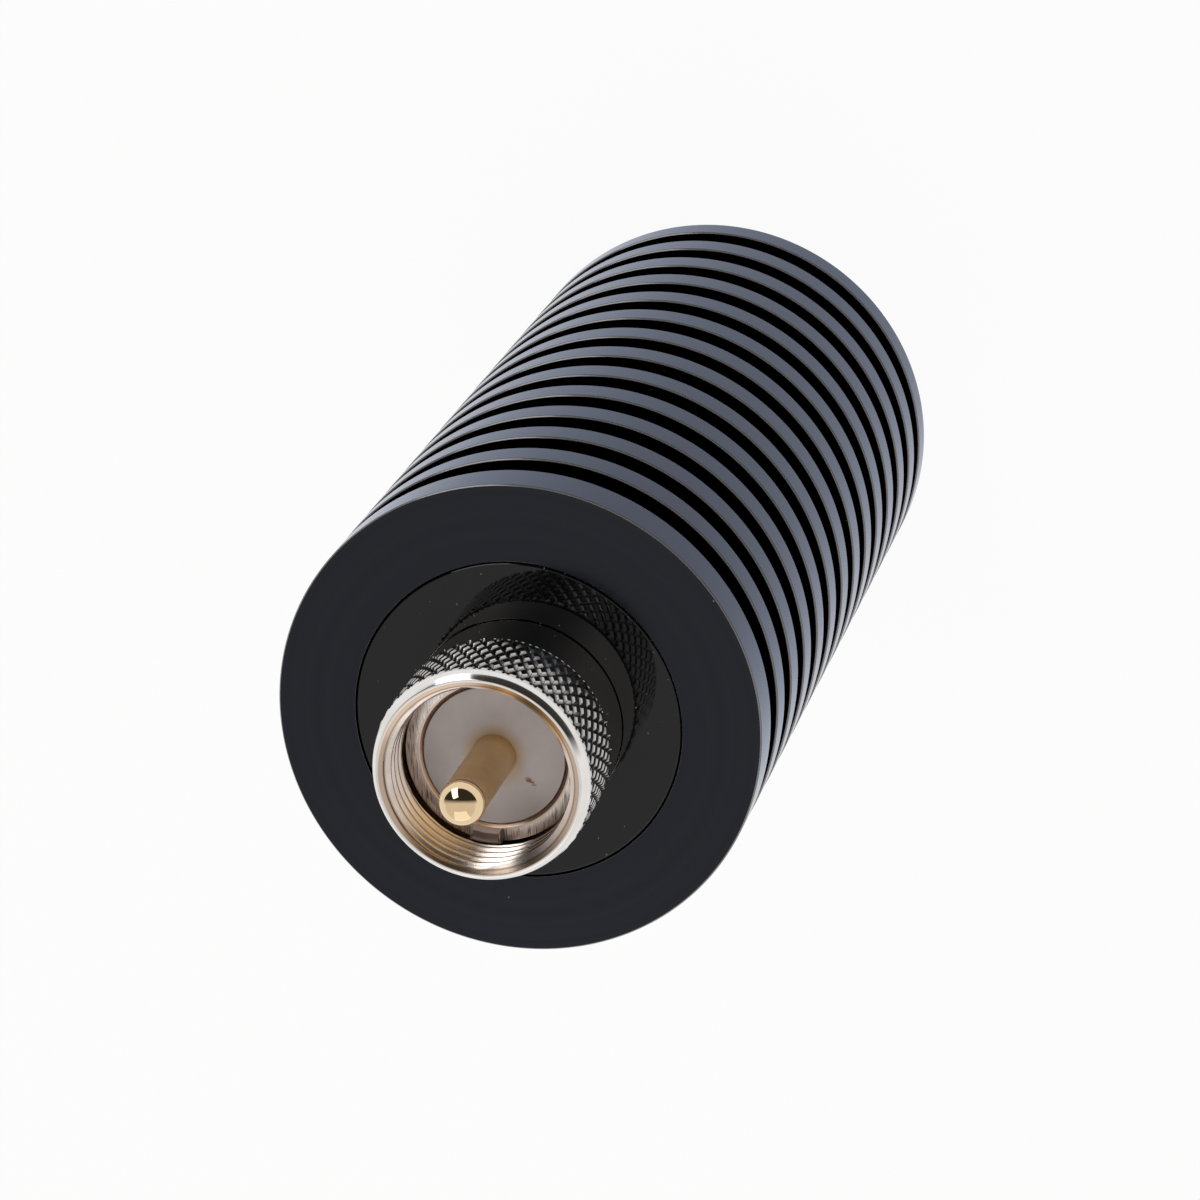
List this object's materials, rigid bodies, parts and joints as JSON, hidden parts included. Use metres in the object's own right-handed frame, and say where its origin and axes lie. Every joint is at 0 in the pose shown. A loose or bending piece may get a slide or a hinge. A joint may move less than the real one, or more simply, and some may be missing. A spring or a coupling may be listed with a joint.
{
  "type": "rf dummy load",
  "caption": "Black ring-finned cylinder that ends a radio feed line: a coaxial plug with a knurled coupling nut and a gold centre pin feeds a resistor inside.",
  "frame": {"origin": "centre of the flat rear face, on which the load stands", "axes": "+Z along the axis of the body, from the rear face to the plug"},
  "size_m": [0.041, 0.041, 0.1019],
  "materials": {
    "black_anodised": "satin black anodised, turned",
    "gloss_black": "mirror gloss",
    "nickel": "polished nickel plate",
    "shell_nickel": "turned nickel plate",
    "white_insulator": "waxy white",
    "gold": "gold plate, polished",
    "bare_aluminium": "turned",
    "steel": "plain",
    "brass": "turned",
    "film": "matt film",
    "white_ceramic": "matt"
  },
  "bodies": {
    "load": {"heat_sink": "black_anodised", "mounting_plate": "bare_aluminium", "plate_screws": "steel", "face_disc": "gloss_black", "collar": "nickel", "plug_shell": "shell_nickel", "front_insulator": "white_insulator", "centre_pin": "gold", "rear_insulator": "white_insulator", "pin_ferrule": "brass", "lock_washer": "steel", "lock_nut": "brass", "spring_socket": "brass", "hot_cap": "brass", "resistor_tube": "film", "earth_cap": "brass", "split_washer": "steel", "earth_screw": "steel", "thermal_sleeve": "white_ceramic"},
    "nut": {"coupling_nut": "nickel"}
  },
  "joints": [
    {"name": "nut_turn", "type": "hinge", "parent": "load", "child": "nut", "pos_m": [0, 0, 0.091], "axis": [0, 0, 1], "continuous": true}
  ]
}
